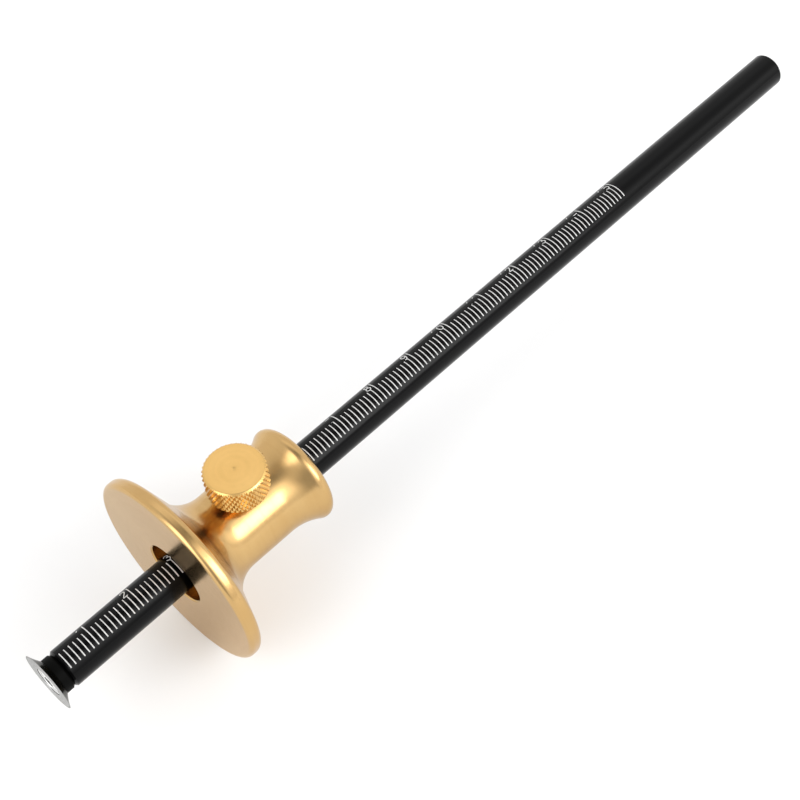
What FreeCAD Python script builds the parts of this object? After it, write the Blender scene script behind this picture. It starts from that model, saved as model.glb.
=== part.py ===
import FreeCAD, Part
import math
import os

import Sketcher
from FreeCAD import Vector

# Wheel marking gauge. A brass fence slides and turns on a round beam, a knurled thumb screw clamps it
# there, and a small bevelled cutting wheel is screwed to the beam's front end.
#
# Frame: the origin is the centre of the fence's flat working face, +X runs along the beam towards its
# blank rear end, +Z runs out through the thumb screw. Millimetres.

DIMENSIONS = [
    # fence
    ("fence_length", 30.35),
    ("rim_radius", 19.9),
    ("rim_width", 2.45),
    ("front_rounding", 0.95),
    ("back_rounding", 1.2),
    ("waist_radius", 7.95),
    ("cove_radius", 7.0),
    ("cove_end", 12.0),
    ("flare_radius", 12.0),
    ("flare_start", 21.5),
    ("lip_rounding", 1.6),
    ("recess_radius", 6.33),
    ("recess_depth", 3.2),
    ("mouth_chamfer", 0.25),
    # beam
    ("beam_radius", 3.79),
    ("beam_length", 200.0),
    ("beam_chamfer", 0.45),
    ("bore_clearance", 0.04),
    ("tapped_hole_depth", 9.0),
    # cutting end
    ("setting", 28.6),
    ("wheel_radius", 5.8),
    ("wheel_thickness", 1.2),
    ("bevel_radius", 3.65),
    ("collar_radius", 3.58),
    ("collar_length", 1.9),
    ("collar_chamfer", 0.4),
    ("screw_radius", 1.45),
    ("screw_length", 10.0),
    ("screw_head_radius", 2.95),
    ("socket_width", 2.0),
    ("socket_depth", 1.1),
    ("cutter_clearance", 0.05),
    # clamp
    ("thumb_place", 17.0),
    ("thumb_radius", 2.45),
    ("thumb_clearance", 0.05),
    ("knob_radius", 5.86),
    ("knob_bottom", 9.3),
    ("knob_top", 14.7),
    ("knob_chamfer", 0.58),
    ("knob_underside_chamfer", 0.25),
    ("pad_radius", 2.0),
    ("pad_thickness", 1.15),
    ("pad_gap", 0.05),
    ("stem_radius", 0.95),
    ("stem_length", 1.3),
    # friction ring
    ("ring_place", 25.4),
    ("ring_section", 0.75),
    ("ring_clearance", 0.02),
    ("groove_clearance", 0.1),
]

DERIVED = [
    ("bore_radius", "=beam_radius + bore_clearance"),
    ("beam_front", "=wheel_thickness + collar_length - setting"),
    ("ring_radius", "=beam_radius + ring_clearance + ring_section"),
    ("groove_radius", "=ring_radius + ring_section + groove_clearance"),
    ("groove_width", "=2 * (ring_section + groove_clearance)"),
    ("pad_bottom", "=beam_radius + pad_gap"),
    ("thumb_tip", "=pad_bottom + pad_thickness + pad_gap / 2"),
]

ALIASES = {alias for alias, value in DIMENSIONS + DERIVED}
TOLERANCE = 1e-6
FULL_TURN = 360.0

doc = FreeCAD.newDocument("marking_gauge")
sheet = doc.addObject("Spreadsheet::Sheet", "Dimensions")


def fill_sheet():
    """Writes one row per size: its name, its value and its alias."""
    for row, (alias, value) in enumerate(DIMENSIONS + DERIVED, start=1):
        sheet.set(f"A{row}", alias)
        sheet.set(f"B{row}", str(value))
        sheet.setAlias(f"B{row}", alias)
    doc.recompute()


def size(expression):
    """The number that an expression in the sheet's aliases comes to."""
    return float(sheet.evalExpression(expression))


def in_sheet(expression):
    """The same expression, as another object has to write it."""
    return " ".join("Dimensions." + word if word in ALIASES else word for word in expression.split())


def new_body(label, at_x="0"):
    """An empty body, set along the beam's axis by an expression."""
    body = doc.addObject("PartDesign::Body", label)
    body.Label = label
    body.setExpression("Placement.Base.x", in_sheet(at_x))
    return body


def new_sketch(body, name, plane):
    """A sketch on one of the body's own origin planes."""
    sketch = body.newObject("Sketcher::SketchObject", name)
    for feature in body.Origin.OriginFeatures:
        if feature.Role == plane:
            sketch.AttachmentSupport = [(feature, "")]
    sketch.MapMode = "FlatFace"
    return sketch


def drive(sketch, name, expression, *constraint):
    """Adds a named dimension to the sketch and binds it to the sheet."""
    index = sketch.addConstraint(Sketcher.Constraint(*constraint, size(expression)))
    sketch.renameConstraint(index, name)
    sketch.setExpression("Constraints." + name, in_sheet(expression))


def fix_point(sketch, name, geometry, end, across, up):
    """Holds one end of a line at a place given by two expressions."""
    horizontal_axis = -1
    vertical_axis = -2
    origin = (-1, 1)
    if across == "0":
        sketch.addConstraint(Sketcher.Constraint("PointOnObject", geometry, end, vertical_axis))
    else:
        drive(sketch, name + "_across", across, "DistanceX", *origin, geometry, end)
    if up == "0":
        sketch.addConstraint(Sketcher.Constraint("PointOnObject", geometry, end, horizontal_axis))
    else:
        drive(sketch, name + "_up", up, "DistanceY", *origin, geometry, end)


def draw_outline(sketch, corners):
    """A closed outline of straight lines. Each corner is (name, across, up), its places as expressions."""
    places = [Vector(size(across), size(up), 0) for name, across, up in corners]
    count = len(corners)
    for index in range(count):
        sketch.addGeometry(Part.LineSegment(places[index], places[(index + 1) % count]), False)
    for index in range(count):
        following = (index + 1) % count
        sketch.addConstraint(Sketcher.Constraint("Coincident", index, 2, following, 1))
    for index, (name, across, up) in enumerate(corners):
        fix_point(sketch, name, index, 1, across, up)


def draw_circle(sketch, name, radius, across="0"):
    """A circle on the sketch's horizontal axis."""
    centre = Vector(size(across), 0, 0)
    sketch.addGeometry(Part.Circle(centre, Vector(0, 0, 1), size(radius)), False)
    fix_point(sketch, name + "_centre", 0, 3, across, "0")
    drive(sketch, name + "_radius", radius, "Radius", 0)


def revolve(body, sketch, axis):
    """A solid of revolution about the sketch's H_Axis or V_Axis."""
    feature = body.newObject("PartDesign::Revolution", body.Label + "_turned")
    feature.Profile = sketch
    feature.ReferenceAxis = (sketch, [axis])
    feature.Angle = FULL_TURN
    sketch.Visibility = False
    doc.recompute()
    return feature


def round_edge(shape, place, radius):
    """The name of the circular edge of a radius whose centre is at a place on the turning axis."""
    for number, edge in enumerate(shape.Edges, start=1):
        if not isinstance(edge.Curve, Part.Circle):
            continue
        from_place = (edge.Curve.Center - place).Length
        if from_place < TOLERANCE and abs(edge.Curve.Radius - radius) < TOLERANCE:
            return f"Edge{number}"
    raise ValueError(f"no round edge of radius {radius} at {place}")


def dress_edge(body, kind, base, place, radius, amount):
    """A fillet or a chamfer on one round edge."""
    feature = body.newObject("PartDesign::" + kind, f"{body.Label}_{kind.lower()}")
    feature.Base = (base, [round_edge(base.Shape, place, radius)])
    measure = "Radius" if kind == "Fillet" else "Size"
    feature.setExpression(measure, in_sheet(amount))
    doc.recompute()
    return feature


def pocket(body, name, sketch, depth=None, reverse=True):
    """Cuts a sketch into the body, to a depth or right through."""
    feature = body.newObject("PartDesign::Pocket", name)
    feature.Profile = sketch
    feature.Reversed = reverse
    if depth is None:
        feature.Type = "ThroughAll"
    else:
        feature.Type = "Length"
        feature.setExpression("Length", in_sheet(depth))
    sketch.Visibility = False
    doc.recompute()
    return feature


def along_beam(distance):
    return Vector(distance, 0, 0)


def draw_fence_outline(sketch):
    """Half section of the fence: flat face, rim, cone, cove, straight waist, flare and rear face."""
    length = size("fence_length")
    rim = size("rim_radius")
    waist = size("waist_radius")
    cove = size("cove_radius")
    flare = size("flare_radius")
    rim_back = Vector(size("rim_width"), rim, 0)
    cove_centre = Vector(size("cove_end"), waist + cove, 0)
    flare_centre = Vector(size("flare_start"), waist + flare, 0)

    # The cone behind the rim is the line from the rim's back corner that touches the cove's circle.
    to_rim = rim_back - cove_centre
    cove_start_angle = math.atan2(to_rim.y, to_rim.x) + math.acos(cove / to_rim.Length)
    cove_start = cove_centre + Vector(math.cos(cove_start_angle), math.sin(cove_start_angle), 0) * cove
    down = -math.pi / 2
    flare_end_angle = down + math.asin((length - flare_centre.x) / flare)
    flare_end = flare_centre + Vector(math.cos(flare_end_angle), math.sin(flare_end_angle), 0) * flare

    up = Vector(0, 0, 1)
    corners = [Vector(0, 0, 0), Vector(0, rim, 0), rim_back, cove_start]
    face, edge, cone = (
        sketch.addGeometry(Part.LineSegment(first, second), False)
        for first, second in zip(corners, corners[1:])
    )
    cove_arc = sketch.addGeometry(
        Part.ArcOfCircle(Part.Circle(cove_centre, up, cove), cove_start_angle, 2 * math.pi + down), False
    )
    waist_line = sketch.addGeometry(
        Part.LineSegment(Vector(cove_centre.x, waist, 0), Vector(flare_centre.x, waist, 0)), False
    )
    flare_arc = sketch.addGeometry(
        Part.ArcOfCircle(Part.Circle(flare_centre, up, flare), down, flare_end_angle), False
    )
    rear = sketch.addGeometry(Part.LineSegment(flare_end, Vector(length, 0, 0)), False)
    axis = sketch.addGeometry(Part.LineSegment(Vector(length, 0, 0), Vector(0, 0, 0)), False)

    start, end = 1, 2
    for first, second in ((face, edge), (edge, cone), (flare_arc, rear), (rear, axis), (axis, face)):
        sketch.addConstraint(Sketcher.Constraint("Coincident", first, end, second, start))
    for first, second in ((cone, cove_arc), (cove_arc, waist_line), (waist_line, flare_arc)):
        sketch.addConstraint(Sketcher.Constraint("Tangent", first, end, second, start))
    sketch.addConstraint(Sketcher.Constraint("Horizontal", waist_line))
    sketch.addConstraint(Sketcher.Constraint("Vertical", rear))
    fix_point(sketch, "centre_of_face", face, start, "0", "0")
    fix_point(sketch, "rim_front", edge, start, "0", "rim_radius")
    fix_point(sketch, "rim_back", cone, start, "rim_width", "rim_radius")
    fix_point(sketch, "waist_front", waist_line, start, "cove_end", "waist_radius")
    fix_point(sketch, "rear_centre", axis, start, "fence_length", "0")
    drive(sketch, "waist_rear", "flare_start", "DistanceX", -1, 1, waist_line, end)
    drive(sketch, "cove", "cove_radius", "Radius", cove_arc)
    drive(sketch, "flare", "flare_radius", "Radius", flare_arc)


def round_fence_edges(body, turned):
    """Breaks the rim's two edges and rounds the lip at the rear."""
    length = size("fence_length")
    rim = size("rim_radius")
    flare = size("flare_radius")
    flare_reach = length - size("flare_start")
    lip = size("waist_radius") + flare - math.sqrt(flare**2 - flare_reach**2)
    front = dress_edge(body, "Fillet", turned, along_beam(0), rim, "front_rounding")
    back = dress_edge(body, "Fillet", front, along_beam(size("rim_width")), rim, "back_rounding")
    return dress_edge(body, "Fillet", back, along_beam(length), lip, "lip_rounding")


def make_fence_head():
    """The turned brass fence: the cutter's recess, the beam's bore, the ring's groove, the screw's hole."""
    body = new_body("fence_head")
    outline = new_sketch(body, "fence_outline", "XZ_Plane")
    draw_fence_outline(outline)
    rounded = round_fence_edges(body, revolve(body, outline, "H_Axis"))

    bore = new_sketch(body, "bore_circle", "YZ_Plane")
    draw_circle(bore, "bore", "bore_radius")
    pocket(body, "beam_bore", bore)

    recess = new_sketch(body, "recess_circle", "YZ_Plane")
    draw_circle(recess, "recess", "recess_radius")
    recessed = pocket(body, "cutter_recess", recess, "recess_depth")

    mouth = dress_edge(body, "Chamfer", recessed, along_beam(0), size("recess_radius"), "mouth_chamfer")
    exit_place = along_beam(size("fence_length"))
    dress_edge(body, "Chamfer", mouth, exit_place, size("bore_radius"), "mouth_chamfer")

    groove_outline = new_sketch(body, "groove_outline", "XZ_Plane")
    front = "ring_place - groove_width / 2"
    rear = "ring_place + groove_width / 2"
    inside = "bore_radius - groove_clearance"
    draw_outline(
        groove_outline,
        [
            ("front_inside", front, inside),
            ("front_outside", front, "groove_radius"),
            ("rear_outside", rear, "groove_radius"),
            ("rear_inside", rear, inside),
        ],
    )
    groove = body.newObject("PartDesign::Groove", "ring_groove")
    groove.Profile = groove_outline
    groove.ReferenceAxis = (groove_outline, ["H_Axis"])
    groove.Angle = FULL_TURN
    groove_outline.Visibility = False
    doc.recompute()

    screw_hole = new_sketch(body, "screw_hole_circle", "XY_Plane")
    draw_circle(screw_hole, "screw_hole", "thumb_radius + thumb_clearance", "thumb_place")
    pocket(body, "thumb_screw_hole", screw_hole)
    return body, rounded


def make_beam_rod():
    """The plain round beam, chamfered at both ends and drilled for the cutter's screw."""
    body = new_body("beam_rod", "beam_front")
    circle = new_sketch(body, "beam_circle", "YZ_Plane")
    draw_circle(circle, "beam", "beam_radius")
    pad = body.newObject("PartDesign::Pad", "beam_pad")
    pad.Profile = circle
    pad.setExpression("Length", in_sheet("beam_length"))
    circle.Visibility = False
    doc.recompute()

    radius = size("beam_radius")
    front = dress_edge(body, "Chamfer", pad, along_beam(0), radius, "beam_chamfer")
    dress_edge(body, "Chamfer", front, along_beam(size("beam_length")), radius, "beam_chamfer")

    centre = new_sketch(body, "tapped_hole_circle", "YZ_Plane")
    draw_circle(centre, "tapped_hole", "screw_radius + cutter_clearance")
    doc.recompute()
    hole = body.newObject("PartDesign::Hole", "tapped_hole")
    hole.Profile = centre
    hole.Reversed = True
    hole.ThreadType = "None"
    hole.DepthType = "Dimension"
    hole.DrillPoint = "Angled"
    hole.setExpression("Diameter", in_sheet("2 * ( screw_radius + cutter_clearance )"))
    hole.setExpression("Depth", in_sheet("tapped_hole_depth"))
    centre.Visibility = False
    doc.recompute()
    return body


def make_cutter_collar():
    """The short black spacer that the wheel is screwed against."""
    body = new_body("cutter_collar", "wheel_thickness - setting")
    outline = new_sketch(body, "collar_outline", "XZ_Plane")
    inside = "screw_radius + cutter_clearance"
    seat = "screw_head_radius - wheel_thickness + cutter_clearance"
    draw_outline(
        outline,
        [
            ("seat_mouth", "0", seat),
            ("front_outside", "0", "collar_radius"),
            ("chamfer_front", "collar_length - collar_chamfer", "collar_radius"),
            ("chamfer_rear", "collar_length", "collar_radius - collar_chamfer"),
            ("rear_inside", "collar_length", inside),
            ("seat_floor", seat + " - ( " + inside + " )", inside),
        ],
    )
    revolve(body, outline, "H_Axis")
    return body


def make_cutter_wheel():
    """The hardened wheel: flat outside, bevelled towards the fence, countersunk for its screw."""
    body = new_body("cutter_wheel", "0 - setting")
    outline = new_sketch(body, "wheel_outline", "XZ_Plane")
    mouth = "screw_head_radius + cutter_clearance"
    draw_outline(
        outline,
        [
            ("mouth", "0", mouth),
            ("cutting_edge", "0", "wheel_radius"),
            ("bevel_foot", "wheel_thickness", "bevel_radius"),
            ("back_of_hole", "wheel_thickness", mouth + " - wheel_thickness"),
        ],
    )
    revolve(body, outline, "H_Axis")
    return body


def draw_hexagon(sketch, width):
    """A hexagonal socket round the origin, by its width across flats."""
    radius = size(width) / math.sqrt(3)
    circle = sketch.addGeometry(Part.Circle(Vector(0, 0, 0), Vector(0, 0, 1), radius), True)
    sketch.addConstraint(Sketcher.Constraint("Coincident", circle, 3, -1, 1))
    drive(sketch, "across_corners", width + " / sqrt( 3 )", "Radius", circle)
    angles = [math.pi * k / 3 for k in range(6)]
    corners = [Vector(radius * math.cos(angle), radius * math.sin(angle), 0) for angle in angles]
    sides = [
        sketch.addGeometry(Part.LineSegment(corners[k], corners[(k + 1) % 6]), False) for k in range(6)
    ]
    for k in range(6):
        sketch.addConstraint(Sketcher.Constraint("Coincident", sides[k], 2, sides[(k + 1) % 6], 1))
        sketch.addConstraint(Sketcher.Constraint("PointOnObject", sides[k], 1, circle))
    for k in range(1, 6):
        sketch.addConstraint(Sketcher.Constraint("Equal", sides[0], sides[k]))
    sketch.addConstraint(Sketcher.Constraint("PointOnObject", sides[0], 1, -1))


def make_cutter_screw():
    """The countersunk socket screw that holds the wheel and the collar on the beam."""
    body = new_body("cutter_screw", "0 - setting")
    outline = new_sketch(body, "screw_outline", "XZ_Plane")
    draw_outline(
        outline,
        [
            ("head_centre", "0", "0"),
            ("head_edge", "0", "screw_head_radius"),
            ("neck", "screw_head_radius - screw_radius", "screw_radius"),
            ("point_edge", "screw_length", "screw_radius"),
            ("point_centre", "screw_length", "0"),
        ],
    )
    revolve(body, outline, "H_Axis")
    hexagon = new_sketch(body, "socket_hexagon", "YZ_Plane")
    draw_hexagon(hexagon, "socket_width")
    pocket(body, "hex_socket", hexagon, "socket_depth")
    return body


def make_thumb_screw():
    """The knurled clamping screw, turned about the body's Z axis, its tip bored for the pad's stem."""
    body = new_body("thumb_screw", "thumb_place")
    outline = new_sketch(body, "thumb_outline", "XZ_Plane")
    stem_hole = "stem_radius + thumb_clearance"
    hole_top = "thumb_tip + stem_length"
    draw_outline(
        outline,
        [
            ("hole_top_centre", "0", hole_top),
            ("hole_top_edge", stem_hole, hole_top),
            ("hole_mouth", stem_hole, "thumb_tip"),
            ("tip_edge", "thumb_radius", "thumb_tip"),
            ("shank_top", "thumb_radius", "knob_bottom"),
            ("knob_under", "knob_radius", "knob_bottom"),
            ("knob_over", "knob_radius", "knob_top"),
            ("knob_centre", "0", "knob_top"),
        ],
    )
    turned = revolve(body, outline, "V_Axis")
    radius = size("knob_radius")
    over = Vector(0, 0, size("knob_top"))
    under = Vector(0, 0, size("knob_bottom"))
    top = dress_edge(body, "Chamfer", turned, over, radius, "knob_chamfer")
    dress_edge(body, "Chamfer", top, under, radius, "knob_underside_chamfer")
    return body


def bind_cylinder(name, radius, height, bottom):
    """An upright cylinder on the thumb screw's axis."""
    cylinder = doc.addObject("Part::Cylinder", name)
    cylinder.setExpression("Radius", in_sheet(radius))
    cylinder.setExpression("Height", in_sheet(height))
    cylinder.setExpression("Placement.Base.x", in_sheet("thumb_place"))
    cylinder.setExpression("Placement.Base.z", in_sheet(bottom))
    return cylinder


def make_clamp_pad():
    """The soft pad between the screw's tip and the beam, held by its stem in the screw."""
    disc = bind_cylinder("pad_disc", "pad_radius", "pad_thickness", "pad_bottom")
    stem_foot = "pad_bottom + pad_thickness"
    stem = bind_cylinder("pad_stem", "stem_radius", "stem_length - pad_gap", stem_foot)
    pad = doc.addObject("Part::MultiFuse", "clamp_pad")
    pad.Shapes = [disc, stem]
    pad.Refine = True
    pad.Label = "clamp_pad"
    doc.recompute()
    return pad


def make_friction_ring():
    """The rubber ring in the fence's groove, which keeps the loosened fence from sliding off."""
    ring = doc.addObject("Part::Torus", "friction_ring")
    ring.Label = "friction_ring"
    ring.setExpression("Radius1", in_sheet("ring_radius"))
    ring.setExpression("Radius2", in_sheet("ring_section"))
    ring.Placement = FreeCAD.Placement(Vector(0, 0, 0), FreeCAD.Rotation(Vector(0, 1, 0), 90))
    ring.setExpression("Placement.Base.x", in_sheet("ring_place"))
    doc.recompute()
    return ring


def check_cuts(fence, rounded):
    """Stops if a cut in the fence missed the metal: the volumes have to come to what the sizes say."""
    bore = math.pi * size("bore_radius") ** 2
    recess = math.pi * size("recess_radius") ** 2
    expected = bore * (size("fence_length") - size("recess_depth")) + recess * size("recess_depth")
    groove = math.pi * (size("groove_radius") ** 2 - size("bore_radius") ** 2) * size("groove_width")
    hole = math.pi * size("thumb_radius + thumb_clearance") ** 2 * size("waist_radius - bore_radius")
    expected += groove + hole
    removed = rounded.Shape.Volume - fence.Shape.Volume
    if abs(removed / expected - 1) > 0.02:
        raise ValueError(f"the fence's cuts took {removed:.1f} mm3, not {expected:.1f}")


def check_objects():
    """Stops if any object of the document failed, because recomputing doesn't raise."""
    for item in doc.Objects:
        failed = [state for state in item.State if state in ("Invalid", "Error")]
        if failed:
            raise ValueError(f"{item.Label} is {failed}")


def export(pieces):
    """Writes each piece to parts/LABEL.step."""
    os.makedirs("parts", exist_ok=True)
    for piece in pieces:
        shape = piece.Shape
        if shape.isNull() or not shape.isValid() or len(shape.Solids) != 1:
            raise ValueError(f"{piece.Label} isn't one valid solid")
        shape.exportStep(f"parts/{piece.Label}.step")
        box = shape.BoundBox
        print(
            f"{piece.Label:14s} {shape.Volume:9.2f} mm3  x {box.XMin:8.3f} {box.XMax:8.3f}"
            f"  y {box.YMin:7.3f} {box.YMax:7.3f}  z {box.ZMin:7.3f} {box.ZMax:7.3f}"
        )


fill_sheet()
fence_head, uncut_fence = make_fence_head()
pieces = [
    fence_head,
    make_beam_rod(),
    make_cutter_collar(),
    make_cutter_wheel(),
    make_cutter_screw(),
    make_thumb_screw(),
    make_clamp_pad(),
    make_friction_ring(),
]
doc.recompute()
check_objects()
check_cuts(fence_head, uncut_fence)
export(pieces)
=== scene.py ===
import math

import bmesh
import bpy
from mathutils import Matrix, Vector


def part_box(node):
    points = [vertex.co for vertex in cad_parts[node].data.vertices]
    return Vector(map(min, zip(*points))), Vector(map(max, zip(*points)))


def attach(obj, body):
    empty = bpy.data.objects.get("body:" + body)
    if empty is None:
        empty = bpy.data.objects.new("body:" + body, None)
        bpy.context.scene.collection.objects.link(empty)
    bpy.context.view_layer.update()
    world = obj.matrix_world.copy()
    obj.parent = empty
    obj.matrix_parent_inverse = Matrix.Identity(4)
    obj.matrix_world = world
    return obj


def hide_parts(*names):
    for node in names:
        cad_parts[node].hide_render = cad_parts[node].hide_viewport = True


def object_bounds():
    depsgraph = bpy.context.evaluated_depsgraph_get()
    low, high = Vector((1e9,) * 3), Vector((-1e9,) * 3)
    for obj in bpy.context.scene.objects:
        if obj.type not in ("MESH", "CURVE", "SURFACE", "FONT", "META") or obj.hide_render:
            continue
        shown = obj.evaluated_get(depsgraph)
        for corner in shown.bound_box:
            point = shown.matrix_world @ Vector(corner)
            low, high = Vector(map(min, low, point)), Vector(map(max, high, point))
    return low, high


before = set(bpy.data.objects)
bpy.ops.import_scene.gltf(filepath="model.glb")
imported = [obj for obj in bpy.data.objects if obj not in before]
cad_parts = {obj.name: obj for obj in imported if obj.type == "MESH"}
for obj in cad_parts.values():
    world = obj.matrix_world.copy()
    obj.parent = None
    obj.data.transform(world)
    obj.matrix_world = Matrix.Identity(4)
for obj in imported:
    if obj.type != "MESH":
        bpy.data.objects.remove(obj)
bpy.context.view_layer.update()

MM = 0.001
TURN = 2 * math.pi


# ---------------------------------------------------------------- sizes, in millimetres

def node_box(node):
    """Lowest and highest corner of a CAD node, in millimetres."""
    low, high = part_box(node)
    return low / MM, high / MM


FENCE_HIGH = node_box("fence_head")[1]
ROD_LOW, ROD_HIGH = node_box("beam_rod")
COLLAR_LOW, COLLAR_HIGH = node_box("cutter_collar")
WHEEL_LOW, WHEEL_HIGH = node_box("cutter_wheel")
SCREW_LOW, SCREW_HIGH = node_box("cutter_screw")
KNOB_LOW, KNOB_HIGH = node_box("thumb_screw")

FENCE_LENGTH = FENCE_HIGH.x
RIM_RADIUS = FENCE_HIGH.y
RIM_WIDTH = 2.45
FRONT_ROUNDING = 0.95
BACK_ROUNDING = 1.2
WAIST_RADIUS = 7.95
COVE_RADIUS = 7.0
COVE_END = 12.0
FLARE_RADIUS = 12.0
FLARE_START = 21.5
LIP_ROUNDING = 1.6
RECESS_RADIUS = 6.33
RECESS_DEPTH = 3.2
MOUTH_CHAMFER = 0.25
BORE_RADIUS = 3.83
GROOVE_PLACE = 25.4
GROOVE_WIDTH = 1.7
GROOVE_RADIUS = 5.41
SCREW_HOLE_RADIUS = 2.5

ROD_RADIUS = 3.79
ROD_CHAMFER = 0.45
HOLE_RADIUS = 1.5
HOLE_DEPTH = 9.0

WHEEL_RADIUS = WHEEL_HIGH.y
WHEEL_THICKNESS = WHEEL_HIGH.x - WHEEL_LOW.x
BEVEL_RADIUS = 3.65
BEVEL_HOLLOW = 0.05
COLLAR_RADIUS = COLLAR_HIGH.y
COLLAR_CHAMFER = 0.4
HEAD_RADIUS = SCREW_HIGH.y
SHANK_RADIUS = 1.45
SEAT_CLEARANCE = 0.05
SOCKET_WIDTH = 2.0
SOCKET_DEPTH = 1.1

KNOB_PLACE = (KNOB_LOW.x + KNOB_HIGH.x) / 2
KNOB_RADIUS = KNOB_HIGH.y
KNOB_TOP = KNOB_HIGH.z
KNOB_BOTTOM = 9.3
KNOB_CHAMFER = 0.56
KNOB_CHAMFER_TILT = math.radians(39)
KNOB_UNDER_CHAMFER = 0.25
KNOB_EASING = 0.25
KNURL_TEETH = 40
KNURL_STEPS = 20
KNURL_ANGLE = math.radians(30)
KNURL_DEPTH = 0.28
KNURL_FLAT = 0.15
PIP_RADIUS = 0.15
PIP_DEPTH = 0.05
THREAD_RADIUS = 2.45
THREAD_DEPTH = 0.42
THREAD_PITCH = 0.8
THREAD_TIP_CHAMFER = 0.4
STEM_HOLE_RADIUS = 1.0
STEM_HOLE_DEPTH = 1.3

CUT_DEPTH = 0.09
MARK_RADIUS = 3.8
MARK_WIDTH = 0.2
FIRST_TICK = 4
LAST_TICK = 150
TICK_START = math.radians(-40.5)
TICK_END = math.radians(12)
LONG_TICK_END = math.radians(42)
DIGIT_HEIGHT = 1.75
DIGIT_WIDTH = 1.05
DIGIT_PITCH = 1.6
DIGIT_BASE = math.radians(13)
DIGIT_GAP = 0.6


# ---------------------------------------------------------------- outlines

def arc_points(centre, radius, start, end, step=math.radians(3)):
    """Points along an arc, both ends included."""
    count = max(2, math.ceil(abs(end - start) / step))
    angles = [start + (end - start) * index / count for index in range(count + 1)]
    return [Vector((centre.x + radius * math.cos(a), centre.y + radius * math.sin(a))) for a in angles]


def rounded(corners, step=math.radians(11), guard=0.03):
    """A closed outline with rounded corners. A corner is (along, out) or (along, out, rounding).
    A guard point beside each rounding keeps the flats flat when they are shaded smooth."""
    places = [Vector(corner[:2]) for corner in corners]
    outline = []
    for index, corner in enumerate(corners):
        here = places[index]
        amount = corner[2] if len(corner) > 2 else 0
        if not amount:
            outline.append(here)
            continue
        back = places[index - 1] - here
        ahead = places[(index + 1) % len(places)] - here
        guard_back = min(guard, 0.2 * back.length)
        guard_ahead = min(guard, 0.2 * ahead.length)
        back.normalize()
        ahead.normalize()
        half = back.angle(ahead) / 2
        reach = amount / math.tan(half)
        centre = here + (back + ahead).normalized() * (amount / math.sin(half))
        first = here + back * reach - centre
        turned = math.pi - 2 * half
        if first.y * back.x < first.x * back.y:
            turned = -turned
        start = math.atan2(first.y, first.x)
        outline.append(centre + first + back * guard_back)
        outline += arc_points(centre, amount, start, start + turned, step)
        outline.append(here + ahead * (reach + guard_ahead))
    return outline


def fence_outline():
    """Half section of the fence, as (along the beam, out from it)."""
    cove = Vector((COVE_END, WAIST_RADIUS + COVE_RADIUS))
    flare = Vector((FLARE_START, WAIST_RADIUS + FLARE_RADIUS))
    to_rim = Vector((RIM_WIDTH, RIM_RADIUS)) - cove
    cove_start = math.atan2(to_rim.y, to_rim.x) + math.acos(COVE_RADIUS / to_rim.length)
    down = 1.5 * math.pi
    lip_along = FENCE_LENGTH - LIP_ROUNDING
    lip_drop = math.sqrt((FLARE_RADIUS + LIP_ROUNDING) ** 2 - (lip_along - flare.x) ** 2)
    lip = Vector((lip_along, flare.y - lip_drop))
    to_lip = lip - flare
    flare_end = math.atan2(to_lip.y, to_lip.x)
    lip_start = math.atan2(-to_lip.y, -to_lip.x)
    groove_front = GROOVE_PLACE - GROOVE_WIDTH / 2
    groove_rear = GROOVE_PLACE + GROOVE_WIDTH / 2
    small = 0.05

    body = [tuple(point) for point in arc_points(cove, COVE_RADIUS, cove_start, down)]
    body += [tuple(point) for point in arc_points(flare, FLARE_RADIUS, -math.pi / 2, flare_end)]
    body += [tuple(point) for point in arc_points(lip, LIP_ROUNDING, lip_start, 0, math.radians(8))]
    return rounded(
        [
            (0, RECESS_RADIUS + MOUTH_CHAMFER, small),
            (0, RIM_RADIUS, FRONT_ROUNDING),
            (RIM_WIDTH, RIM_RADIUS, BACK_ROUNDING),
            *body,
            (FENCE_LENGTH, BORE_RADIUS + MOUTH_CHAMFER, small),
            (FENCE_LENGTH - MOUTH_CHAMFER, BORE_RADIUS, small),
            (groove_rear, BORE_RADIUS),
            (groove_rear, GROOVE_RADIUS),
            (groove_front, GROOVE_RADIUS),
            (groove_front, BORE_RADIUS),
            (RECESS_DEPTH, BORE_RADIUS, small),
            (RECESS_DEPTH, RECESS_RADIUS),
            (MOUTH_CHAMFER, RECESS_RADIUS, small),
        ]
    )


# ---------------------------------------------------------------- meshes

def new_object(name, mesh):
    piece = bpy.data.objects.new(name, mesh)
    bpy.context.scene.collection.objects.link(piece)
    return piece


def finish_mesh(mesh, crease=math.radians(28)):
    """Faces outward, smooth, with sharp edges where the surface folds."""
    work = bmesh.new()
    work.from_mesh(mesh)
    bmesh.ops.recalc_face_normals(work, faces=work.faces)
    for face in work.faces:
        face.smooth = True
    for edge in work.edges:
        edge.smooth = len(edge.link_faces) == 2 and edge.calc_face_angle(0) < crease
    work.to_mesh(mesh)
    work.free()


def grid_mesh(name, rows):
    """A closed skin through rows of points. Each row is a ring, or one point at a pole.
    The skin closes on itself if neither end is a pole."""
    vertices = [point for row in rows for point in row]
    starts = [sum(len(row) for row in rows[:index]) for index in range(len(rows))]
    columns = max(len(row) for row in rows)
    closed = len(rows[0]) > 1 and len(rows[-1]) > 1
    faces = []
    for index in range(len(rows) if closed else len(rows) - 1):
        other = (index + 1) % len(rows)
        for column in range(columns):
            nearby = (column + 1) % columns
            one, two = starts[index], starts[other]
            if len(rows[index]) == 1:
                faces.append((one, two + column, two + nearby))
            elif len(rows[other]) == 1:
                faces.append((one + column, two, one + nearby))
            else:
                faces.append((one + column, two + column, two + nearby, one + nearby))
    mesh = bpy.data.meshes.new(name)
    mesh.from_pydata(vertices, [], faces)
    mesh.validate()
    return mesh


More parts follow.
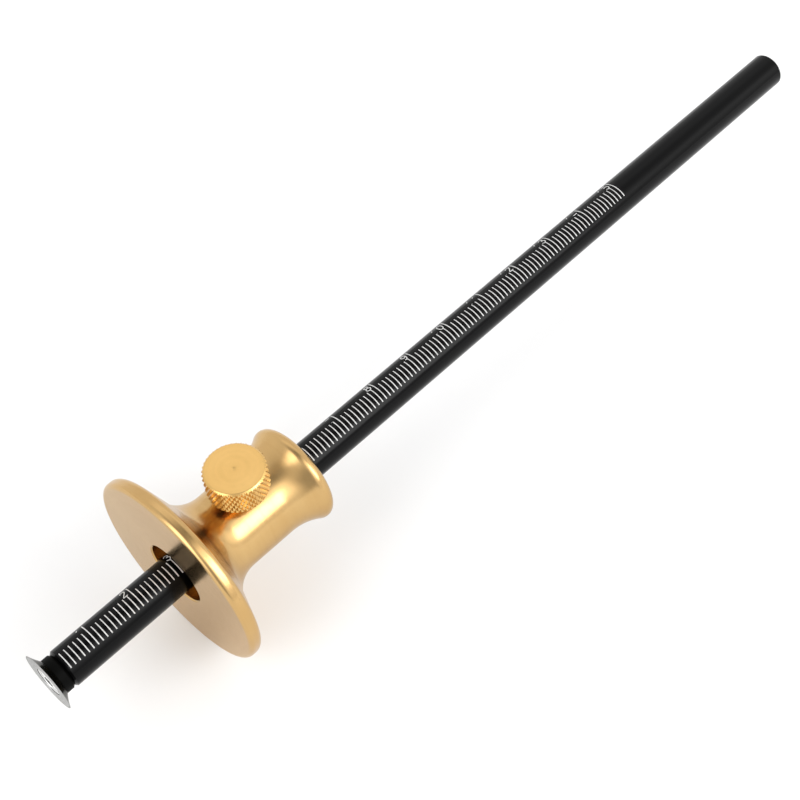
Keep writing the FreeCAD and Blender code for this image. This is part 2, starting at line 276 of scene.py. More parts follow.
def turned_mesh(name, outline, columns):
    """The outline, in millimetres, turned about the X axis."""
    rows = []
    for along, out in outline:
        if out < 1e-6:
            rows.append([(along * MM, 0, 0)])
            continue
        ring = [(TURN * column / columns) for column in range(columns)]
        rows.append([(along * MM, out * MM * math.cos(a), out * MM * math.sin(a)) for a in ring])
    mesh = grid_mesh(name, rows)
    finish_mesh(mesh)
    return mesh


def cut(piece, cutter_mesh):
    """Cuts a closed mesh out of a piece."""
    cutter = new_object("cutter_tool", cutter_mesh)
    change = piece.modifiers.new("cut", "BOOLEAN")
    change.operation = "DIFFERENCE"
    change.solver = "EXACT"
    change.object = cutter
    evaluated = piece.evaluated_get(bpy.context.evaluated_depsgraph_get())
    mesh = bpy.data.meshes.new_from_object(evaluated)
    piece.modifiers.clear()
    piece.data = mesh
    bpy.data.objects.remove(cutter)
    finish_mesh(mesh)


def prism_mesh(name, points, start, end):
    """A closed prism between two places along one axis. points give the outline at each of them."""
    count = len(points(start))
    vertices = points(start) + points(end)
    faces = [tuple(range(count)), tuple(range(count, 2 * count))]
    for index in range(count):
        following = (index + 1) % count
        faces.append((index, following, following + count, index + count))
    mesh = bpy.data.meshes.new(name)
    mesh.from_pydata(vertices, [], faces)
    finish_mesh(mesh)
    return mesh


# ---------------------------------------------------------------- knob

def fold(value):
    """0 on a whole number, 1 halfway between two."""
    return 2 * abs(value - round(value))


def knob_pole(height):
    """A row of one point, on the knob's axis."""
    return [(KNOB_PLACE * MM, 0, height * MM)]


def knob_ring(columns, height, radius_at):
    """A ring of points round the knob's axis. radius_at gives the radius at an angle and a height."""
    points = []
    for column in range(columns):
        angle = TURN * column / columns
        radius = radius_at(angle, height)
        points.append(
            (
                (KNOB_PLACE + radius * math.cos(angle)) * MM,
                radius * math.sin(angle) * MM,
                height * MM,
            )
        )
    return points


def plain(radius):
    """The same radius all the way round."""
    return lambda angle, height: radius


def knob_head_mesh():
    """The knurled head: raised diamonds between two sets of V grooves, chamfered above and below.
    The top edge is eased, and the middle of the top has a small pip from the lathe."""
    columns = KNURL_TEETH * KNURL_STEPS
    diamond = TURN * KNOB_RADIUS / KNURL_TEETH / math.tan(KNURL_ANGLE)
    step = diamond / KNURL_STEPS
    easing = KNOB_EASING * math.tan(KNOB_CHAMFER_TILT / 2)
    easing_centre = Vector((KNOB_RADIUS - KNOB_CHAMFER - easing, KNOB_TOP - KNOB_EASING))
    easing_start = math.pi / 2 - KNOB_CHAMFER_TILT
    eased = arc_points(easing_centre, KNOB_EASING, easing_start, math.pi / 2, math.radians(8))
    knurl_top = eased[0].y
    count = round((knurl_top - KNOB_BOTTOM) / step)
    heights = [KNOB_BOTTOM + (knurl_top - KNOB_BOTTOM) * row / count for row in range(count)]

    def knurled(angle, height):
        round_it = angle / TURN * KNURL_TEETH
        up = (height - KNOB_BOTTOM) / diamond
        groove = max(fold(round_it + up), fold(round_it - up))
        groove = max(0, groove - KNURL_FLAT) / (1 - KNURL_FLAT)
        over = KNOB_RADIUS - KNOB_CHAMFER + (KNOB_TOP - height) / math.tan(KNOB_CHAMFER_TILT)
        under = KNOB_RADIUS - KNOB_UNDER_CHAMFER + (height - KNOB_BOTTOM)
        return min(KNOB_RADIUS - KNURL_DEPTH * groove, over, under)

    rows = [knob_pole(KNOB_BOTTOM)]
    rows += [knob_ring(columns, KNOB_BOTTOM, plain(radius)) for radius in (2.0, 3.6, 5.2)]
    rows += [knob_ring(columns, height, knurled) for height in heights]
    rows += [knob_ring(columns, point.y, plain(point.x)) for point in eased]
    rows += [knob_ring(columns, KNOB_TOP, plain(radius)) for radius in (4.9, 4.4, 3.0, 1.6, 0.7, 0.3)]
    rows.append(knob_ring(columns, KNOB_TOP - PIP_DEPTH, plain(PIP_RADIUS)))
    rows.append(knob_pole(KNOB_TOP - 1.4 * PIP_DEPTH))
    mesh = grid_mesh("knob", rows)
    finish_mesh(mesh, math.radians(24))
    return mesh


def knob_thread_mesh():
    """The threaded shank under the knob, bored at its tip for the pad's stem."""
    columns = 96
    per_turn = 12
    tip = KNOB_LOW.z
    top = KNOB_BOTTOM + 0.1
    step = THREAD_PITCH / per_turn
    count = round((top - tip) / step)
    hole_top = tip + STEM_HOLE_DEPTH

    def threaded(angle, height):
        phase = height / THREAD_PITCH - angle / TURN
        depth = min(1, max(0, 1.25 * fold(phase) - 0.1))
        chamfer = THREAD_RADIUS - THREAD_TIP_CHAMFER + (height - tip)
        return min(THREAD_RADIUS - THREAD_DEPTH * depth, chamfer)

    rows = [knob_pole(hole_top)]
    rows += [knob_ring(columns, height, plain(STEM_HOLE_RADIUS)) for height in (hole_top, tip)]
    for row in range(count + 1):
        rows.append(knob_ring(columns, tip + (top - tip) * row / count, threaded))
    rows.append(knob_pole(top))
    mesh = grid_mesh("knob_thread", rows)
    finish_mesh(mesh, math.radians(40))
    return mesh


# ---------------------------------------------------------------- scale

DIGITS = {
    "0": [
        [
            (0.5, 1), (0.16, 0.86), (0.03, 0.5), (0.16, 0.14), (0.5, 0),
            (0.84, 0.14), (0.97, 0.5), (0.84, 0.86), (0.5, 1),
        ]
    ],
    "1": [[(0.25, 0.76), (0.58, 1)], [(0.58, 1), (0.58, 0)]],
    "2": [
        [
            (0.05, 0.74), (0.18, 0.93), (0.5, 1.0), (0.82, 0.92),
            (0.9, 0.72), (0.72, 0.5), (0.38, 0.26), (0.05, 0),
        ],
        [(0.05, 0), (0.95, 0)],
    ],
    "3": [
        [(0.08, 0.84), (0.28, 0.98), (0.6, 0.99), (0.84, 0.82), (0.74, 0.6), (0.4, 0.53)],
        [(0.4, 0.53), (0.78, 0.45), (0.94, 0.25), (0.76, 0.04), (0.4, 0), (0.05, 0.14)],
    ],
    "4": [[(0.7, 0), (0.7, 1)], [(0.7, 1), (0.05, 0.3)], [(0.05, 0.3), (0.97, 0.3)]],
    "5": [
        [(0.87, 1), (0.22, 1)],
        [(0.22, 1), (0.12, 0.54)],
        [(0.12, 0.54), (0.42, 0.64), (0.76, 0.57), (0.93, 0.33), (0.76, 0.06), (0.4, 0), (0.05, 0.12)],
    ],
    "6": [
        [
            (0.82, 0.93), (0.5, 1), (0.2, 0.8), (0.06, 0.4), (0.18, 0.08), (0.5, 0),
            (0.84, 0.1), (0.94, 0.32), (0.78, 0.54), (0.48, 0.6), (0.1, 0.4),
        ]
    ],
    "7": [[(0.05, 1), (0.95, 1)], [(0.95, 1), (0.38, 0)]],
    "8": [
        [(0.5, 0.54), (0.2, 0.64), (0.14, 0.84), (0.5, 1), (0.86, 0.84), (0.8, 0.64), (0.5, 0.54)],
        [(0.5, 0.54), (0.12, 0.4), (0.06, 0.16), (0.5, 0), (0.94, 0.16), (0.88, 0.4), (0.5, 0.54)],
    ],
    "9": [
        [
            (0.18, 0.07), (0.5, 0), (0.8, 0.2), (0.94, 0.6), (0.82, 0.92), (0.5, 1),
            (0.16, 0.9), (0.06, 0.68), (0.22, 0.46), (0.52, 0.4), (0.9, 0.6),
        ]
    ],
}


def smooth_path(points, parts=4):
    """A curve through the points of a stroke."""
    if len(points) < 3:
        return [Vector(point) for point in points]
    ends = [Vector(point) for point in points]
    ends = [2 * ends[0] - ends[1], *ends, 2 * ends[-1] - ends[-2]]
    path = []
    for index in range(1, len(ends) - 2):
        before, first, second, after = ends[index - 1 : index + 3]
        for part in range(parts):
            t = part / parts
            path.append(
                0.5
                * (
                    2 * first
                    + (second - before) * t
                    + (2 * before - 5 * first + 4 * second - after) * t**2
                    + (3 * first - before - 3 * second + after) * t**3
                )
            )
    return path + [ends[-2]]


class Marks:
    """Marks on the rod: closed slabs that follow its round surface."""

    def __init__(self):
        self.vertices = []
        self.faces = []

    def place(self, along, over, radius):
        """A point by its distance along the beam and, from the top towards +Y, round it."""
        angle = over / ROD_RADIUS
        return (along * MM, radius * math.sin(angle) * MM, radius * math.cos(angle) * MM)

    def stroke(self, path, widths):
        """A slab along a path, with its width at each point."""
        start = len(self.vertices)
        inside = ROD_RADIUS - CUT_DEPTH
        for index, point in enumerate(path):
            ahead = path[min(index + 1, len(path) - 1)]
            behind = path[max(index - 1, 0)]
            direction = (ahead - behind).normalized()
            side = Vector((-direction.y, direction.x)) * (widths[index] / 2)
            for sign, radius in ((1, MARK_RADIUS), (-1, MARK_RADIUS), (-1, inside), (1, inside)):
                spot = point + side * sign
                self.vertices.append(self.place(spot.x, spot.y, radius))
        for index in range(len(path) - 1):
            one = start + 4 * index
            for edge in range(4):
                other = (edge + 1) % 4
                self.faces.append((one + edge, one + other, one + 4 + other, one + 4 + edge))
        last = start + 4 * (len(path) - 1)
        self.faces.append((start, start + 1, start + 2, start + 3))
        self.faces.append((last + 3, last + 2, last + 1, last))

    def tick(self, along, start, end):
        """A line across the beam, a little heavier at the end where the tool began it."""
        parts = 12 if end < LONG_TICK_END else 18
        angles = [start + (end - start) * part / parts for part in range(parts + 1)]
        path = [Vector((along, angle * ROD_RADIUS)) for angle in angles]
        widths = [MARK_WIDTH * (1.12 - 0.24 * part / parts) for part in range(parts + 1)]
        self.stroke(path, widths)

    def number(self, text, right):
        """Digits that read along the beam and end at a place along it."""
        for index, digit in enumerate(reversed(text)):
            left = right - DIGIT_WIDTH - index * DIGIT_PITCH
            for line in DIGITS[digit]:
                path = smooth_path(line)
                base = DIGIT_BASE * ROD_RADIUS
                spots = [Vector((left + p.x * DIGIT_WIDTH, base + p.y * DIGIT_HEIGHT)) for p in path]
                self.stroke(spots, [MARK_WIDTH * 0.95] * len(spots))


def scale_mesh():
    """Millimetre lines from the cutting edge, with the centimetres numbered."""
    marks = Marks()
    for tick in range(FIRST_TICK, LAST_TICK + 1):
        along = WHEEL_LOW.x + tick
        if tick % 10:
            marks.tick(along, TICK_START, TICK_END)
        else:
            marks.tick(along, TICK_START, LONG_TICK_END)
            marks.number(str(tick // 10), along - DIGIT_GAP)
    mesh = bpy.data.meshes.new("scale_marks")
    mesh.from_pydata(marks.vertices, [], marks.faces)
    finish_mesh(mesh)
    return mesh


# ---------------------------------------------------------------- materials

class Nodes:
    """Shader nodes added to a tree."""

    def __init__(self, tree):
        self.nodes = tree.nodes
        self.links = tree.links

    def add(self, kind, inputs=(), **settings):
        """A node with its settings. inputs are (socket, value or output) pairs."""
        node = self.nodes.new("ShaderNode" + kind)
        for setting, value in settings.items():
            setattr(node, setting, value)
        for socket, value in inputs:
            if isinstance(value, bpy.types.NodeSocket):
                self.links.new(value, node.inputs[socket])
            else:
                node.inputs[socket].default_value = value
        return node

    def math(self, operation, first, second=0.0):
        return self.add("Math", [(0, first), (1, second)], operation=operation).outputs[0]

    def between(self, factor, low, high, near=0.3, far=0.7, kind="LINEAR"):
        """Carries a factor over to a range."""
        inputs = [("Value", factor), ("From Min", near), ("From Max", far)]
        inputs += [("To Min", low), ("To Max", high)]
        return self.add("MapRange", inputs, interpolation_type=kind).outputs["Result"]


class Paint(Nodes):
    """A material made of nodes round one principled shader."""

    def __init__(self, name, **sockets):
        self.material = bpy.data.materials.new(name)
        self.material.use_nodes = True
        super().__init__(self.material.node_tree)
        self.shader = self.nodes["Principled BSDF"]
        for socket, value in sockets.items():
            self.shader.inputs[socket.replace("_", " ")].default_value = value

    def place(self):
        return self.add("TexCoord").outputs["Object"]

    def noise(self, where, scale, detail=2.0, roughness=0.5):
        """Noise between 0 and 1, at so many waves per metre."""
        inputs = [("Vector", where), ("Scale", scale), ("Detail", detail), ("Roughness", roughness)]
        return self.add("TexNoise", inputs).outputs["Fac"]

    def blend(self, factor, first, second):
        """A colour between two."""
        inputs = [(0, factor), (6, (*first, 1) if isinstance(first, tuple) else first)]
        inputs.append((7, (*second, 1) if isinstance(second, tuple) else second))
        return self.add("Mix", inputs, data_type="RGBA").outputs[2]

    def turned(self, axis, centre=(0, 0, 0)):
        """Coordinates that are the same all the way round an axis: (along it, out from it, 0).
        The two parts come with them."""
        inputs = [(0, self.place()), (1, centre)]
        where = self.add("VectorMath", inputs, operation="SUBTRACT").outputs[0]
        parts = self.add("SeparateXYZ", [(0, where)]).outputs
        along = parts[axis]
        others = [parts[name] for name in "XYZ" if name != axis]
        squares = [self.math("MULTIPLY", part, part) for part in others]
        out = self.math("SQRT", self.math("ADD", *squares))
        return self.add("CombineXYZ", [("X", along), ("Y", out)]).outputs[0], along, out

    def bump(self, height, strength, distance):
        inputs = [("Height", height), ("Strength", strength), ("Distance", distance)]
        return self.add("Bump", inputs).outputs["Normal"]

    def set(self, socket, value):
        self.links.new(value, self.shader.inputs[socket])


def brass_paint(name, axis, centre, light, dark, smooth, rough, line_depth):
    """Turned brass: fine rings from the tool, a slow change of colour, and small dull spots."""
    paint = Paint(name, Metallic=1.0, Specular_Tint=(0.9, 0.9, 0.9, 1))
    rings = paint.turned(axis, centre)[0]
    fine = paint.noise(rings, 5200, 3.0, 0.6)
    coarse = paint.noise(rings, 900, 2.0, 0.5)
    cloud = paint.noise(paint.place(), 110, 3.0, 0.55)
    spots = paint.noise(paint.place(), 900, 2.0, 0.5)
    tone = paint.math("ADD", paint.math("MULTIPLY", cloud, 0.6), paint.math("MULTIPLY", coarse, 0.4))
    colour = paint.blend(paint.between(tone, 0.0, 1.0, 0.35, 0.65), dark, light)
    stain = tuple(0.6 * value for value in dark)
    paint.set("Base Color", paint.blend(paint.between(spots, 0.0, 0.3, 0.7, 0.8), colour, stain))
    wear = paint.math("ADD", paint.math("MULTIPLY", fine, 0.5), paint.math("MULTIPLY", spots, 0.5))
    paint.set("Roughness", paint.between(wear, smooth, rough, 0.35, 0.65))
    lines = paint.math("ADD", fine, paint.math("MULTIPLY", coarse, 0.5))
    paint.set("Normal", paint.bump(lines, 1.0, line_depth))
    return paint


def rod_paint():
    """Black anodised bar: semi-gloss, with a fine drawn grain along it and a few pale rubs."""
    paint = Paint("black_anodised_bar", Metallic=0.0, IOR=1.5, Specular_IOR_Level=0.13)
    stretched = paint.add("Mapping", [("Vector", paint.place()), ("Scale", (0.08, 1, 1))]).outputs[0]
    grain = paint.noise(stretched, 4200, 3.0, 0.6)
    cloud = paint.noise(paint.place(), 160, 3.0, 0.5)
    dark = (0.0006, 0.0006, 0.0007)
    light = (0.0012, 0.0012, 0.0013)
    paint.set("Base Color", paint.blend(paint.between(cloud, 0, 1), dark, light))
    paint.set("Roughness", paint.between(grain, 0.12, 0.2))
    paint.set("Normal", paint.bump(grain, 1.0, 0.0000005))
    return paint


def black_oxide_paint():
    """Matte black oxide, finely mottled."""
    paint = Paint("black_oxide_collar", Metallic=0.0, IOR=1.5, Specular_IOR_Level=0.05)
    rings = paint.turned("X")[0]
    fine = paint.noise(rings, 4000, 3.0, 0.6)
    grit = paint.noise(paint.place(), 5000, 3.0, 0.6)
    dark = (0.001, 0.001, 0.0009)
    light = (0.003, 0.003, 0.0027)
    paint.set("Base Color", paint.blend(paint.between(grit, 0, 1), dark, light))
    paint.set("Roughness", paint.between(grit, 0.42, 0.6))
    paint.set("Normal", paint.bump(fine, 1.0, 0.000004))
    return paint


# painted shade: the dark colour the steel is painted behind its face and towards the wheel's edge
STEEL_PAINTED_SHADE = (0.1, 0.1, 0.097)
# how far in from the wheel's rim the painted edge shade reaches, in millimetres
EDGE_SHADE_WIDTH = 0.45


def steel_paint(name, light, dark, tint, smooth, rough, line_depth, darker):
    """Ground steel: rings from grinding, brighter and duller in turn.
    Behind its face painted shade darkens it, between the two places along the beam that darker gives.
    Painted shade also darkens the face towards the wheel's edge."""
    paint = Paint(name, Metallic=1.0, Specular_Tint=(tint, tint, tint, 1))
    rings, along, out = paint.turned("X")
    fine = paint.noise(rings, 6000, 3.0, 0.65)
    bands = paint.noise(rings, 1500, 2.0, 0.5)
    cloud = paint.noise(paint.place(), 500, 3.0, 0.5)
    tone = paint.math("ADD", paint.math("MULTIPLY", bands, 0.6), paint.math("MULTIPLY", cloud, 0.4))
    colour = paint.blend(paint.between(tone, 0, 1, 0.35, 0.65), dark, light)
    # painted shade behind the face, between the two places that darker gives
    behind = paint.between(along, 0, 1, darker[0] * MM, darker[1] * MM)
    # painted shade on the face towards the wheel's edge
    edge_shade_start = (WHEEL_RADIUS - EDGE_SHADE_WIDTH) * MM
    edge_shade_end = (WHEEL_RADIUS - EDGE_SHADE_WIDTH / 2) * MM
    edge = paint.between(out, 0, 0.8, edge_shade_start, edge_shade_end)
    # the steel's own colour, turned to painted shade where either mask rises
    paint.set("Base Color", paint.blend(paint.math("MAXIMUM", behind, edge), colour, STEEL_PAINTED_SHADE))
    paint.set("Roughness", paint.between(fine, smooth, rough))
    paint.set("Normal", paint.bump(fine, 1.0, line_depth))
    return paint


def mark_paint():
    """Bare metal in the cut lines, dull and slightly uneven."""
    paint = Paint("scale_cut", Metallic=0.15, IOR=1.5)
    uneven = paint.noise(paint.place(), 1800, 3.0, 0.6)
    dark = (0.5, 0.5, 0.49)
    light = (0.74, 0.74, 0.73)
    paint.set("Base Color", paint.blend(paint.between(uneven, 0, 1), dark, light))
    paint.set("Roughness", paint.between(uneven, 0.45, 0.6))
    return paint


def nylon_paint():
    """Natural nylon: milky, with a faint moulded texture."""
    paint = Paint("natural_nylon", Metallic=0.0, IOR=1.53)
    cloud = paint.noise(paint.place(), 700, 3.0, 0.5)
    dark = (0.74, 0.71, 0.62)
    light = (0.84, 0.82, 0.74)
    paint.set("Base Color", paint.blend(paint.between(cloud, 0, 1), dark, light))
    paint.set("Roughness", paint.between(cloud, 0.4, 0.5))
    paint.set("Normal", paint.bump(cloud, 1.0, 0.00001))
    return paint


def rubber_paint():
    """Black rubber, matte, with fine speckle."""
    paint = Paint("ring_black_rubber", Metallic=0.0, IOR=1.52)
    grit = paint.noise(paint.place(), 3500, 3.0, 0.6)
    dark = (0.012, 0.012, 0.012)
    light = (0.028, 0.028, 0.028)
    paint.set("Base Color", paint.blend(paint.between(grit, 0, 1), dark, light))
    paint.set("Roughness", paint.between(grit, 0.6, 0.8))
    paint.set("Normal", paint.bump(grit, 1.0, 0.000006))
    return paint


# ---------------------------------------------------------------- pieces

def add_piece(name, mesh, body, paint, replaced=None):
    """A finished piece on a CAD body."""
    piece = mesh if isinstance(mesh, bpy.types.Object) else new_object(name, mesh)
    piece.data.materials.clear()
    piece.data.materials.append(paint.material)
    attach(piece, body)
    if replaced:
        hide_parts(replaced)
    return piece


def make_fence():
    """The turned fence, with the thumb screw's hole cut down into its bore."""
    piece = new_object("fence", turned_mesh("fence", fence_outline(), 288))

    def circle(height):
        return knob_ring(72, height, plain(SCREW_HOLE_RADIUS))

    cut(piece, prism_mesh("screw_hole", circle, 0.0, WAIST_RADIUS + 2))
    # painted shade: the fence's brass is the knob's brass painted darker, standing in for the dimmer
    # light on the fence
    light = (0.625, 0.41, 0.175)
    dark = (0.575, 0.36, 0.142)
    paint = brass_paint("turned_brass", "X", (0, 0, 0), light, dark, 0.19, 0.25, 0.00000025)
    return add_piece("fence", piece, "fence", paint, "fence_head")


def make_rod():
    """The beam, with the blind hole in its front end for the wheel's screw."""
    small = 0.06
    hole_end = ROD_LOW.x + HOLE_DEPTH
    outline = rounded(
        [
            (ROD_LOW.x, HOLE_RADIUS),
            (ROD_LOW.x, ROD_RADIUS - ROD_CHAMFER, small),
            (ROD_LOW.x + ROD_CHAMFER, ROD_RADIUS, small),
            (ROD_HIGH.x - ROD_CHAMFER, ROD_RADIUS, small),
            (ROD_HIGH.x, ROD_RADIUS - ROD_CHAMFER, small),
            (ROD_HIGH.x, 0),
        ]
    )
    outline = [(hole_end + 0.6 * HOLE_RADIUS, 0), (hole_end, HOLE_RADIUS)] + outline
    mesh = turned_mesh("beam", outline, 192)
    return add_piece("beam", mesh, "beam", rod_paint(), "beam_rod")


def make_collar():
    """The spacer between the beam and the wheel, countersunk for the screw."""
    small = 0.05
    hole = SHANK_RADIUS + SEAT_CLEARANCE
    seat = HEAD_RADIUS - WHEEL_THICKNESS + SEAT_CLEARANCE
    outline = rounded(
        [
            (COLLAR_LOW.x, seat),
            (COLLAR_LOW.x, COLLAR_RADIUS, small),
            (COLLAR_HIGH.x - COLLAR_CHAMFER, COLLAR_RADIUS, small),
            (COLLAR_HIGH.x, COLLAR_RADIUS - COLLAR_CHAMFER, small),
            (COLLAR_HIGH.x, hole),
            (COLLAR_LOW.x + seat - hole, hole),
        ]
    )
    mesh = turned_mesh("collar", outline, 160)
    return add_piece("collar", mesh, "beam", black_oxide_paint(), "cutter_collar")


def make_wheel():
    """The cutter: flat in front, hollow-ground bevel behind, countersunk in the middle."""
    mouth = HEAD_RADIUS + SEAT_CLEARANCE
    steps = 6
    bevel = []
    for index in range(1, steps):
        part = index / steps
        hollow = BEVEL_HOLLOW * 4 * part * (1 - part)
        along = WHEEL_LOW.x + WHEEL_THICKNESS * part - hollow
        bevel.append((along, WHEEL_RADIUS + (BEVEL_RADIUS - WHEEL_RADIUS) * part - hollow))
    outline = rounded(
        [
            (WHEEL_LOW.x, mouth, 0.03),
            (WHEEL_LOW.x, WHEEL_RADIUS),
            *bevel,
            (WHEEL_HIGH.x, BEVEL_RADIUS),
            (WHEEL_HIGH.x, mouth - WHEEL_THICKNESS),
        ]
    )
    mesh = turned_mesh("wheel", outline, 192)
    # painted shade: past these places behind the face, the bevel is painted dark
    darker = (WHEEL_LOW.x + 0.03, WHEEL_LOW.x + 0.06)
    light = (0.7, 0.7, 0.69)
    dark = (0.5, 0.5, 0.49)
    paint = steel_paint("ground_steel", light, dark, 0.6, 0.16, 0.26, 0.000001, darker)
    return add_piece("wheel", mesh, "cutter", paint, "cutter_wheel")


def make_screw():
    """The countersunk screw in the wheel, with its hexagonal socket."""
    neck = HEAD_RADIUS - SHANK_RADIUS
    outline = rounded(
        [
            (SCREW_LOW.x, HEAD_RADIUS, 0.08),
            (SCREW_LOW.x + neck, SHANK_RADIUS, 0.1),
            (SCREW_HIGH.x, SHANK_RADIUS, 0.1),
        ]
    )
    outline = [(SCREW_LOW.x, 0)] + outline + [(SCREW_HIGH.x, 0)]
    piece = new_object("wheel_screw", turned_mesh("wheel_screw", outline, 96))
    corner = SOCKET_WIDTH / math.sqrt(3)

    def hexagon(along):
        angles = [TURN * index / 6 for index in range(6)]
        return [(along * MM, corner * math.cos(a) * MM, corner * math.sin(a) * MM) for a in angles]

    cut(piece, prism_mesh("socket", hexagon, SCREW_LOW.x - 0.5, SCREW_LOW.x + SOCKET_DEPTH))
    # painted shade: deeper than these places the screw, its socket included, is painted dark
    darker = (SCREW_LOW.x + 0.3 * SOCKET_DEPTH, SCREW_LOW.x + 0.8 * SOCKET_DEPTH)
    light = (0.9, 0.9, 0.89)
    dark = (0.8, 0.8, 0.79)
    paint = steel_paint("screw_bright_steel", light, dark, 0.95, 0.18, 0.28, 0.0000006, darker)
    return add_piece("wheel_screw", piece, "beam", paint, "cutter_screw")


def make_knob():
    """The thumb screw: its knurled head, and its threaded shank as a piece of its own."""
    centre = (KNOB_PLACE * MM, 0, 0)
    # painted light: the knob's brass is the fence's brass painted lighter, standing in for the light
    # on the knob
    light = (0.77, 0.485, 0.175)
    dark = (0.71, 0.44, 0.15)
    paint = brass_paint("knob_brass_painted_lighter", "Z", centre, light, dark, 0.19, 0.26, 0.0000003)
    add_piece("knob", knob_head_mesh(), "thumb", paint, "thumb_screw")
    add_piece("knob_thread", knob_thread_mesh(), "thumb", paint)


def dress_node(node, paint):
    """Gives a CAD node that stays in view a better material."""
    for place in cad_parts[node].material_slots:
        place.material = paint.material


# ---------------------------------------------------------------- stage

FLOOR_GAP = 0.1
FLOOR_RADII = (0.3, 4.0)
FLOOR_GLOW = 0.11


def make_floor():
    """A wide pale sheet just under the lowest point. Its radii are in metres."""
    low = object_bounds()[0]
    height = low.z - FLOOR_GAP * MM
    count = 64
    angles = [TURN * index / count for index in range(count)]
    rows = [[(0, 0, height)]]
    for radius in FLOOR_RADII:
        rows.append([(radius * math.cos(a), radius * math.sin(a), height) for a in angles])
    floor = new_object("floor", grid_mesh("floor", rows))
    paint = Paint("pale_floor", Metallic=0.0, Roughness=0.9)
    cloud = paint.noise(paint.place(), 6, 2.0, 0.5)
    paint.set("Base Color", paint.blend(cloud, (0.8, 0.8, 0.8), (0.82, 0.82, 0.82)))
    paint.shader.inputs["Emission Color"].default_value = (1, 1, 1, 1)
    paint.shader.inputs["Emission Strength"].default_value = FLOOR_GLOW
    floor.data.materials.append(paint.material)


LIGHT_DISTANCE = 1.2
# azimuth, elevation, width and height in degrees, then how bright it looks
LIGHTS = [
    ("key", -63, 31, 24, 30, 3.4),
]

# how bright the studio is at each elevation, in degrees
WALLS = [(0, 1.03), (30, 1.02), (60, 0.86), (75, 0.54), (90, 0.45)]
# azimuth and elevation of a panel's middle, its even half width and height, and those where it has
# faded out, all in degrees, then what it adds
PANELS = [
    (-74, 43, 5, 8, 50, 36, 1.3),
    (-33, 20, 8, 6, 24, 20, 0.6),
    (177, 32, 10, 18, 26, 42, 2.2),
    (45, 60, 20, 8, 60, 24, 0.35),
]
# the same for the darker parts, with what they leave of the light
SHADES = [
    (-132, 12, 8, 16, 32, 42, 0.5),
    (-40, 78, 50, 10, 80, 22, 0.7),
]


def direction(azimuth, elevation):
    """The direction of a place on the sky, given in degrees."""
    a, e = math.radians(azimuth), math.radians(elevation)
    return Vector((math.cos(a) * math.cos(e), math.sin(a) * math.cos(e), math.sin(e)))


def make_lights():
    """Rectangular lamps that face the origin, as wide and as bright from there as LIGHTS says."""
    for name, azimuth, elevation, width, height, radiance in LIGHTS:
        data = bpy.data.lights.new(name, "AREA")
        data.shape = "RECTANGLE"
        data.size = 2 * LIGHT_DISTANCE * math.tan(math.radians(width / 2))
        data.size_y = 2 * LIGHT_DISTANCE * math.tan(math.radians(height / 2))
        data.energy = radiance * math.pi * data.size * data.size_y
        lamp = bpy.data.objects.new(name, data)
        towards = direction(azimuth, elevation)
        lamp.location = towards * LIGHT_DISTANCE
        lamp.rotation_mode = "QUATERNION"
        lamp.rotation_quaternion = (-towards).to_track_quat("-Z", "Y")
        bpy.context.scene.collection.objects.link(lamp)


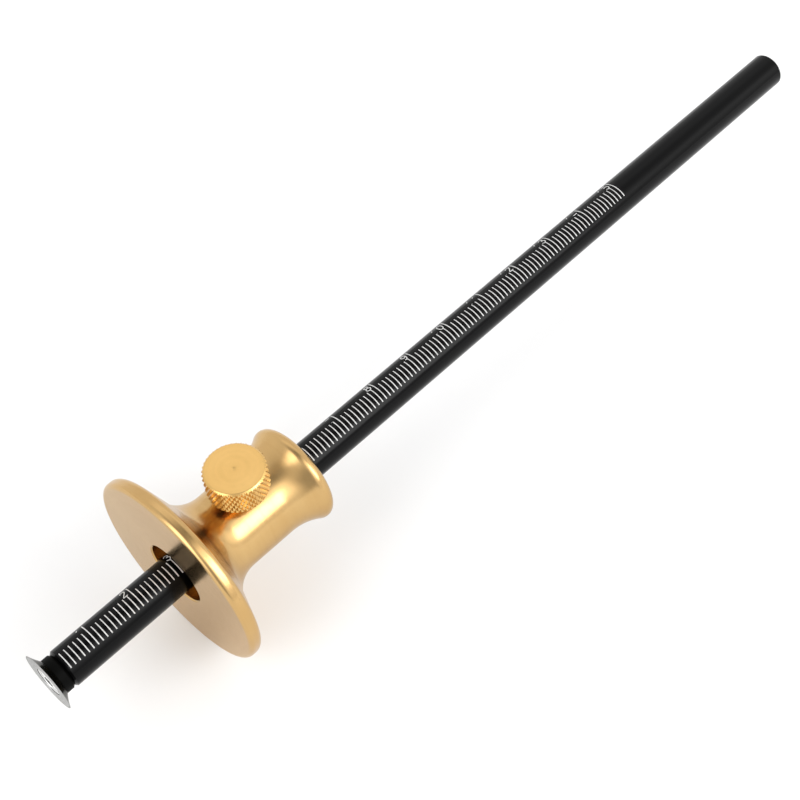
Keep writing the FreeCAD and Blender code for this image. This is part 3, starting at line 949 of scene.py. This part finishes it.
class Studio(Nodes):
    """The light from all round, by azimuth and elevation."""

    def __init__(self, tree):
        super().__init__(tree)
        parts = self.add("SeparateXYZ", [(0, self.add("TexCoord").outputs["Generated"])]).outputs
        self.azimuth = self.math("ARCTAN2", parts["Y"], parts["X"])
        self.elevation = self.math("ARCSINE", parts["Z"])

    def walls(self):
        """The even part of the light."""
        node = self.add("ValToRGB", [(0, self.math("DIVIDE", self.elevation, math.pi / 2))])
        elements = node.color_ramp.elements
        for _ in WALLS[2:]:
            elements.new(0.5)
        for element, (elevation, value) in zip(elements, WALLS):
            element.position = elevation / 90
            element.color = (value, value, value, 1)
        return node.outputs[0]

    def patch(self, azimuth, elevation, width, height, far_width, far_height):
        """1 in the middle of a patch, fading to 0 round it."""
        turned = self.math("SUBTRACT", self.azimuth, math.radians(azimuth))
        inputs = [(0, turned), (1, math.pi), (2, -math.pi)]
        across = self.math("ABSOLUTE", self.add("Math", inputs, operation="WRAP").outputs[0])
        up = self.math("ABSOLUTE", self.math("SUBTRACT", self.elevation, math.radians(elevation)))
        wide = self.between(across, 1, 0, math.radians(width), math.radians(far_width), "SMOOTHSTEP")
        high = self.between(up, 1, 0, math.radians(height), math.radians(far_height), "SMOOTHSTEP")
        return self.math("MULTIPLY", wide, high)


def make_world():
    """Pale walls that dim overhead, soft panels of light, and a darker side behind the camera."""
    world = bpy.data.worlds.new("studio")
    bpy.context.scene.world = world
    world.use_nodes = True
    studio = Studio(world.node_tree)
    light = studio.walls()
    for *patch, left in SHADES:
        light = studio.math("MULTIPLY", light, studio.between(studio.patch(*patch), 1, left, 0, 1))
    for *patch, added in PANELS:
        light = studio.math("ADD", light, studio.math("MULTIPLY", studio.patch(*patch), added))
    studio.links.new(light, world.node_tree.nodes["Background"].inputs["Color"])


# the camera's place in millimetres, the directions of its right and its back, and its lens
CAMERA_PLACE = (-60.716, -134.301, 233.474)
CAMERA_RIGHT = (0.69738, -0.71431, -0.05859)
CAMERA_BACK = (-0.39432, -0.45066, 0.80089)
LENS = 68.825
SENSOR_WIDTH = 36


def make_camera():
    """A plain camera that was fitted to the photo."""
    data = bpy.data.cameras.new("camera")
    data.lens = LENS
    data.sensor_width = SENSOR_WIDTH
    data.clip_start = 0.01
    data.clip_end = 20
    camera = bpy.data.objects.new("camera", data)
    back = Vector(CAMERA_BACK).normalized()
    up = back.cross(Vector(CAMERA_RIGHT)).normalized()
    right = up.cross(back)
    rotation = Matrix((right, up, back)).transposed()
    camera.matrix_world = Matrix.Translation(Vector(CAMERA_PLACE) * MM) @ rotation.to_4x4()
    bpy.context.scene.collection.objects.link(camera)
    bpy.context.scene.camera = camera


make_camera()
make_fence()
make_rod()
add_piece("scale_marks", scale_mesh(), "beam", mark_paint())
make_collar()
make_wheel()
make_screw()
make_knob()
dress_node("clamp_pad", nylon_paint())
dress_node("friction_ring", rubber_paint())
make_floor()
make_lights()
make_world()
bpy.context.scene.view_settings.view_transform = "Standard"
